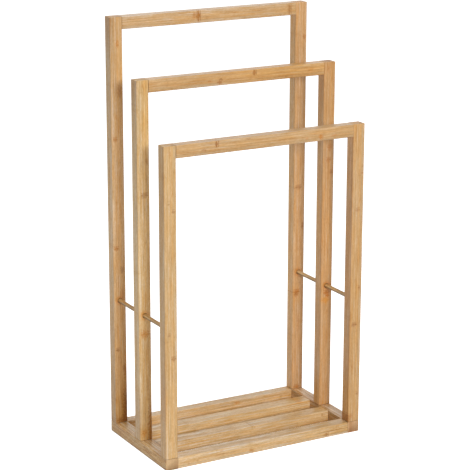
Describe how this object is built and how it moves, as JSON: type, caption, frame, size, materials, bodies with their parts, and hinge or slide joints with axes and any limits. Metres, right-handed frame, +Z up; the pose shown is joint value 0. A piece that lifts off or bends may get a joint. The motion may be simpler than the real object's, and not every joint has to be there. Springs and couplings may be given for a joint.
{
  "type": "towel rack",
  "caption": "Free-standing bamboo towel rack: stepped U-shaped hanging frames on a low slatted base, tied at the sides by thin spacer rods.",
  "frame": {"origin": "middle of the base's underside, on the floor", "axes": "+X to the rack's right, +Y to the back (the tallest frame), +Z up"},
  "size_m": [0.425, 0.2364, 0.82],
  "materials": {
    "bamboo_frame": "satin clear lacquer on laminated bamboo",
    "bamboo_base": "satin clear lacquer on laminated bamboo",
    "bamboo_rod": "satin round bamboo rod",
    "dowel_wood": "raw hardwood dowel",
    "screw_steel": "zinc-plated"
  },
  "bodies": {
    "root": {"base_left_side_rail": "bamboo_base", "base_right_side_rail": "bamboo_base", "base_front_rail": "bamboo_base", "base_front_slat": "bamboo_base", "base_rear_slat": "bamboo_base", "base_back_rail": "bamboo_base", "back_top_rail": "bamboo_frame", "back_left_post": "bamboo_frame", "back_right_post": "bamboo_frame", "middle_top_rail": "bamboo_frame", "middle_left_post": "bamboo_frame", "middle_right_post": "bamboo_frame", "front_top_rail": "bamboo_frame", "front_left_post": "bamboo_frame", "front_right_post": "bamboo_frame", "left_spacer_rod": "bamboo_rod", "right_spacer_rod": "bamboo_rod", "back_left_corner_dowel": "dowel_wood", "back_right_corner_dowel": "dowel_wood", "middle_left_corner_dowel": "dowel_wood", "middle_right_corner_dowel": "dowel_wood", "front_left_corner_dowel": "dowel_wood", "front_right_corner_dowel": "dowel_wood", "front_rail_left_dowel": "dowel_wood", "front_rail_right_dowel": "dowel_wood", "front_slat_left_dowel": "dowel_wood", "front_slat_right_dowel": "dowel_wood", "rear_slat_left_dowel": "dowel_wood", "rear_slat_right_dowel": "dowel_wood", "back_rail_left_dowel": "dowel_wood", "back_rail_right_dowel": "dowel_wood", "back_left_foot_screw": "screw_steel", "back_right_foot_screw": "screw_steel", "middle_left_foot_screw": "screw_steel", "middle_right_foot_screw": "screw_steel", "front_left_foot_screw": "screw_steel", "front_right_foot_screw": "screw_steel"}
  },
  "joints": []
}
